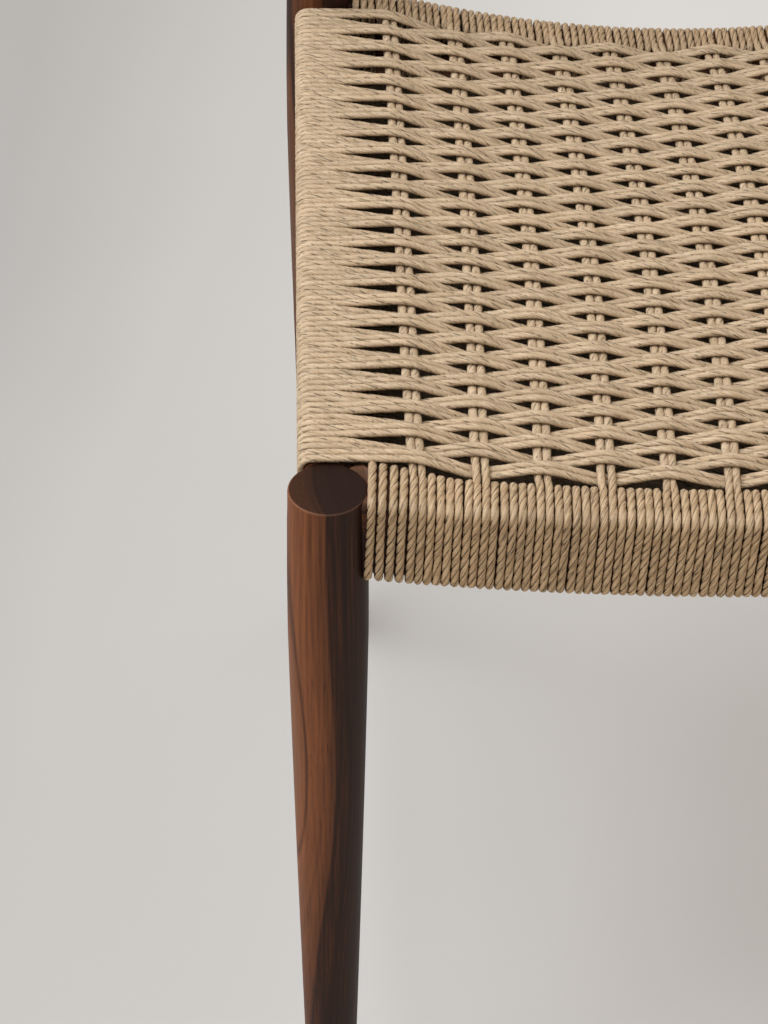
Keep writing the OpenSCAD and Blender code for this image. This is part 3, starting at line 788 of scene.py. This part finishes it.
SAPWOOD = rgb(126, 94, 72)
SAPWOOD_SHARE = 0.35
SAPWOOD_FADE = 4 * MM
PORE_SPAN = (0.62, 0.72)
PORE_COLOUR = rgb(24, 16, 13)
PORE_SHARE = 0.55
END_GRAIN = rgb(33, 17, 11)
END_SPAN = (0.85, 0.97, 0.0, 0.8)  # from how steeply a face looks up to its share of end grain
# painted highlight along the rounded rim beside the top of a turned piece
RIM_HIGHLIGHT = rgb(150, 112, 92)
RIM_HIGHLIGHT_SHARE = 0.2
RIM_START = (0.1, 0.4)  # how steeply the rim looks up where it starts and where it ends
RIM_END = (0.95, 0.75)
STREAK_HEIGHT = 0.5
WALNUT_ROUGHNESS = (0.3, 0.7, 0.46, 0.58)
WALNUT_SHINE = 0.14
WALNUT_BUMP = (0.16, 0.12 * MM)


def walnut(name, along, pith, heart, warmth):
    """Walnut with its grain along an axis. pith is the middle of the growth rings, in the plane across
    the grain as (x, y), (x, z) or (z, y). heart is the radius within which the wood is dark, and warmth,
    from 0 to 1, is how warm it is outside. Turned pieces have darker end grain and a painted highlight on
    the rim."""
    g = Graph(name)
    turned = along == "z"
    rotation, signs = TO_GRAIN[along]
    place = g.mapping(g.object_place(), rotation=rotation)
    place = g.mapping(place, location=(-pith[0] * signs[0], -pith[1] * signs[1], 0))
    waver = g.noise(place, *WAVER_NOISE)
    ring = g.math("ADD", g.length(g.mapping(place, scale=(1, 1, 0))), g.span(waver, *WAVER_SPAN))
    if turned:
        level = g.parts(place)["Z"]
        off = g.math("DIVIDE", g.math("SUBTRACT", level, SWIRL_Z), SWIRL_REACH)
        swirl = g.math("EXPONENT", g.math("MULTIPLY", g.math("MULTIPLY", off, off), -1.0))
        lean = g.math("MULTIPLY", g.math("SUBTRACT", level, SEAT_H), GRAIN_LEAN)
        ring = g.math("ADD", g.math("ADD", ring, lean), g.math("MULTIPLY", swirl, SWIRL))

    bands = g.noise(g.grey(ring), *BAND_NOISE)
    broad = g.noise(g.grey(ring), *BROAD_NOISE)
    streak = g.noise(place, *STREAK_NOISE)
    pore = g.span(g.noise(place, *PORE_NOISE), *PORE_SPAN)
    warm = g.math("ADD", g.span(ring, heart - WARM_EDGE, heart + WARM_EDGE, 0.0, warmth * WARM_STEP),
                  g.span(ring, heart + WARM_START, heart + WARM_END, 0.0, warmth * (1 - WARM_STEP)))
    dark_ring = g.math("ABSOLUTE", g.math("SUBTRACT", ring, heart + DARK_RING))
    dark_ring = g.math("MULTIPLY", g.span(dark_ring, *DARK_RING_SPAN), g.span(waver, *DARK_RING_BREAKS))
    tone = g.math("SUBTRACT", g.total((bands, streak, broad, warm), TONE_SHARES), dark_ring)
    colour = g.ramp(tone, WALNUT_COLOURS)
    sap_start = heart + DARK_RING
    colour = g.mix(g.span(ring, sap_start, sap_start + SAPWOOD_FADE, 0.0, SAPWOOD_SHARE), colour, SAPWOOD)
    colour = g.mix(g.math("MULTIPLY", pore, PORE_SHARE), colour, PORE_COLOUR)
    if turned:
        facing = g.parts(g.node("ShaderNodeNewGeometry").outputs["Normal"])["Z"]
        colour = g.mix(g.span(facing, *END_SPAN), colour, END_GRAIN)
        # painted highlight on the rim
        rim = g.math("MULTIPLY", g.span(facing, *RIM_START), g.span(facing, *RIM_END))
        colour = g.mix(g.math("MULTIPLY", rim, RIM_HIGHLIGHT_SHARE), colour, RIM_HIGHLIGHT)
    height = g.math("SUBTRACT", g.math("MULTIPLY", streak, STREAK_HEIGHT), pore)
    return g.surface({
        "Base Color": colour,
        "Roughness": g.span(streak, *WALNUT_ROUGHNESS),
        "Specular IOR Level": WALNUT_SHINE,
        "Normal": g.bump(height, *WALNUT_BUMP),
    })


# Steel of the tacks, with fine upright streaks, and plastic of the glides

DRAWN_NOISE = ((3000, 3000, 400), 3)
STEEL_COLOURS = [(0.3, rgb(150, 148, 144)), (0.7, rgb(196, 194, 190))]
STEEL_ROUGHNESS = (0.3, 0.7, 0.28, 0.45)
SPECK_NOISE = ((900, 900, 900), 3)
PLASTIC_COLOURS = [(0.3, rgb(38, 35, 33)), (0.7, rgb(56, 52, 49))]
PLASTIC_ROUGHNESS = 0.55
PLASTIC_BUMP = (0.2, 0.1 * MM)


def tack_steel():
    g = Graph("tack_steel")
    drawn = g.noise(g.object_place(), *DRAWN_NOISE)
    return g.surface({
        "Base Color": g.ramp(drawn, STEEL_COLOURS),
        "Roughness": g.span(drawn, *STEEL_ROUGHNESS),
        "Metallic": 1.0,
    })


def glide_plastic():
    g = Graph("glide_plastic")
    specks = g.noise(g.object_place(), *SPECK_NOISE)
    return g.surface({
        "Base Color": g.ramp(specks, PLASTIC_COLOURS),
        "Roughness": PLASTIC_ROUGHNESS,
        "Normal": g.bump(specks, *PLASTIC_BUMP),
    })


# The thicker inner side of the front rail beside the legs. The plan gives, in mm, places along the rail
# from the leg's axis, each with how much thicker the rail is there.

SHOULDER_PLAN = [(8, 5.5), (11, 8.5), (15.5, 10), (17.5, 8), (20, 8), (29, 6), (38, 4), (47, 2), (56, 0)]
SHOULDER_LAP = 1 * MM
ROUNDING = 0.3  # share of the edge that is cut off in its middle


def shoulder(name, side, material):
    """The thicker part beside the leg on one side, with its upper edge rounded. It laps into the rail."""
    inside = FRONT_Y + WOOD_IN - SHOULDER_LAP
    verts = []
    for along, thicker in SHOULDER_PLAN:
        x = FRONT_HALF - along * MM
        top = float(FRONT.top(min(x, FRONT_HALF - LEG_TOP_R)))
        bottom = float(FRONT.bottom(min(x, FRONT_HALF - LEG_TOP_R)))
        face = FRONT_Y + WOOD_IN + thicker * MM
        edge = min(RAIL_EDGE, thicker * MM)
        section = [(inside, top - RAIL_EDGE), (face - edge, top),
                   (face - ROUNDING * edge, top - ROUNDING * edge), (face, top - edge),
                   (face, bottom + edge), (face - edge, bottom), (inside, bottom + RAIL_EDGE)]
        verts += [(side * x, y, z) for y, z in section]
    count = len(section)
    faces = [tuple(range(count)), tuple(range(len(verts) - count, len(verts)))[::-1]]
    for k in range(len(SHOULDER_PLAN) - 1):
        for a in range(count):
            b = (a + 1) % count
            faces.append((k * count + a, (k + 1) * count + a, (k + 1) * count + b, k * count + b))
    mesh = bpy.data.meshes.new(name)
    mesh.from_pydata(verts, [], faces if side > 0 else [f[::-1] for f in faces])
    mesh.update()
    mesh.materials.append(material)
    piece = add_object(name, mesh)
    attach(piece, ROOT)


def paint(node, material):
    """Gives a node of the frame its material."""
    piece = frame["nodes"][node]
    if not piece.material_slots:
        piece.data.materials.append(None)
    for place in piece.material_slots:
        place.link = "OBJECT"
        place.material = material


# The seat

WARP_PIECES = 2
WEFT_PIECES = 6


def rail_turns(name, rail, step, sides, stands_for):
    """The single turns of one rail, as one piece."""
    cords = Cords()
    wind(cords, rail, step, sides)
    cords.build(name, cord_material, [stands_for])


def weave(name, lay, count, pieces, stands_for):
    """Two cords for each number up to count, as several pieces with equal shares of them."""
    for part in range(pieces):
        cords = Cords()
        for k in range(part * count // pieces, (part + 1) * count // pieces):
            lay(cords, k, -1)
            lay(cords, k, 1)
        cords.build(f"{name}_{part + 1}", cord_material, stands_for)


cord_material = paper_cord()
rail_turns("front_turns", FRONT, TURN_STEP, ROUND_SIDES, "front_rail_winding")
rail_turns("back_turns", BACK, FINE_STEP, PLAIN_SIDES, "back_rail_winding")
weave("warp_cords", warp_cord, PAIR_COUNT, WARP_PIECES, ["warp_cords", "under_warp_cords"])
weave("weft_cords", weft_cord, WEFT_COUNT, WEFT_PIECES,
      ["weft_cords", "under_weft_cords", "left_rail_winding", "right_rail_winding"])


# The wooden frame, tacks and glides. Each wooden node has the axis of its grain, its pith, its heart and
# its warmth.

STRETCHER_Z = 185 * MM
WOODS = {
    "front_leg_left": ("z", (-FRONT_HALF + 70 * MM, FRONT_Y + 12 * MM), 78.2 * MM, 1.0),
    "front_leg_right": ("z", (FRONT_HALF - 62 * MM, FRONT_Y + 22 * MM), 70 * MM, 0.8),
    "back_post_left": ("z", (-BACK_HALF + 60 * MM, BACK_Y + 20 * MM), 70 * MM, 0.55),
    "back_post_right": ("z", (BACK_HALF - 52 * MM, BACK_Y - 30 * MM), 66 * MM, 0.8),
    "front_rail": ("x", (SEAT_H - 60 * MM, FRONT_Y), 45 * MM, 0.35),
    "back_rail": ("x", (SEAT_H + 70 * MM, BACK_Y), 90 * MM, 0.7),
    "side_rail_left": ("y", (-FRONT_HALF + 50 * MM, SEAT_H), 56 * MM, 0.8),
    "side_rail_right": ("y", (FRONT_HALF - 50 * MM, SEAT_H), 52 * MM, 0.8),
    "side_stretcher_left": ("y", (-FRONT_HALF + 40 * MM, STRETCHER_Z), 41 * MM, 0.8),
    "side_stretcher_right": ("y", (FRONT_HALF - 40 * MM, STRETCHER_Z), 43 * MM, 0.7),
    "crest_rail": ("x", (600 * MM, BACK_Y), 175 * MM, 0.8),
    "lower_back_rail": ("x", (500 * MM, BACK_Y), 110 * MM, 0.7),
}
woods = {node: walnut("walnut_" + node, *values) for node, values in WOODS.items()}
for node, material in woods.items():
    paint(node, material)

shoulder("front_rail_shoulder_left", -1, woods["front_rail"])
shoulder("front_rail_shoulder_right", 1, woods["front_rail"])

paint("cord_tacks", tack_steel())
paint("foot_glides", glide_plastic())


# Floor, light and camera. The floor's colour grows paler from left to right, across lines that lean a
# little, as painted light and shade.

FLOOR_HALF = 8.0
FLOOR_LEAN = 0.12
FLOOR_NOISE = ((2.5, 2.5, 2.5), 2)
FLOOR_WAVER = (0.3, 0.7, -0.02, 0.02)
FLOOR_SPAN = (-0.52, -0.02)  # places between which its colour grows paler as painted light
# colours of the floor's painted light and shade
FLOOR_PAINTED_LIGHT_COLOURS = [(0.0, rgb(175, 173, 170)), (0.3, rgb(194, 192, 188)),
                 (0.6, rgb(204, 202, 198)), (0.95, rgb(217, 215, 212))]
FLOOR_ROUGHNESS = 0.9
ROOM_COLOUR = (1.025, 0.955, 0.875, 1)
ROOM_STRENGTH = 0.65
WINDOW_PLACE = (-1.9, -0.2, 2.8)
WINDOW_SIZE = 2.8
WINDOW_POWER = 82
WINDOW_COLOUR = (0.92, 0.985, 1.08)

# The camera: its focal length in pixels, its turn, and its distance to the top of the front left leg,
# which sits at a known pixel of the image

IMAGE_WIDE = 768
IMAGE_HIGH = 1024
SENSOR = 36.0
FOCAL = 2989
PITCH = math.radians(40.995)
YAW = math.radians(1.014)
ROLL = math.radians(0.548)
DISTANCE = 1.280
LEG_TOP_PIXEL = (327.3, 488.9)
NEAREST = 0.05  # distances between which it sees
FARTHEST = 40


def floor():
    corners = [(a * FLOOR_HALF, b * FLOOR_HALF, 0) for a, b in ((-1, -1), (1, -1), (1, 1), (-1, 1))]
    mesh = bpy.data.meshes.new("floor")
    mesh.from_pydata(corners, [], [(0, 1, 2, 3)])
    g = Graph("floor")
    place = g.parts(g.object_place())
    across = g.math("SUBTRACT", place["X"], g.math("MULTIPLY", place["Y"], FLOOR_LEAN))
    across = g.math("ADD", across, g.span(g.noise(g.object_place(), *FLOOR_NOISE), *FLOOR_WAVER))
    # painted light and shade: paler from left to right
    painted_floor_light = g.ramp(g.span(across, *FLOOR_SPAN), FLOOR_PAINTED_LIGHT_COLOURS)
    mesh.materials.append(g.surface({"Base Color": painted_floor_light, "Roughness": FLOOR_ROUGHNESS}))
    add_object("floor", mesh)


def world():
    made = bpy.data.worlds.new("room")
    made.use_nodes = True
    background = made.node_tree.nodes["Background"]
    background.inputs["Color"].default_value = ROOM_COLOUR
    background.inputs["Strength"].default_value = ROOM_STRENGTH
    bpy.context.scene.world = made


def window():
    """A soft square light that faces the middle of the seat."""
    lamp = bpy.data.lights.new("window", "AREA")
    lamp.shape = "SQUARE"
    lamp.size = WINDOW_SIZE
    lamp.energy = WINDOW_POWER
    lamp.color = WINDOW_COLOUR
    made = add_object("window", lamp)
    made.location = WINDOW_PLACE
    made.rotation_mode = "QUATERNION"
    made.rotation_quaternion = (Vector((0, 0, SEAT_H)) - Vector(WINDOW_PLACE)).to_track_quat("-Z", "Y")


def camera():
    """The photograph's view."""
    forward = Vector((math.sin(YAW) * math.cos(PITCH), math.cos(YAW) * math.cos(PITCH), -math.sin(PITCH)))
    level = Vector((math.cos(YAW), -math.sin(YAW), 0))
    upright = level.cross(forward)
    right = level * math.cos(ROLL) + upright * math.sin(ROLL)
    up = upright * math.cos(ROLL) - level * math.sin(ROLL)
    ray = forward
    ray = ray + right * ((LEG_TOP_PIXEL[0] - IMAGE_WIDE / 2) / FOCAL)
    ray = ray + up * ((IMAGE_HIGH / 2 - LEG_TOP_PIXEL[1]) / FOCAL)
    data = bpy.data.cameras.new("camera")
    data.sensor_width = SENSOR
    data.lens = SENSOR * FOCAL / IMAGE_HIGH
    data.clip_start = NEAREST
    data.clip_end = FARTHEST
    made = add_object("camera", data)
    leg_top = Vector((-FRONT_HALF, FRONT_Y, SEAT_H))
    turn = Matrix((right, up, -forward)).transposed()
    made.matrix_world = Matrix.Translation(leg_top - ray.normalized() * DISTANCE) @ turn.to_4x4()
    bpy.context.scene.camera = made


floor()
world()
window()
camera()
bpy.context.scene.view_settings.view_transform = "Standard"
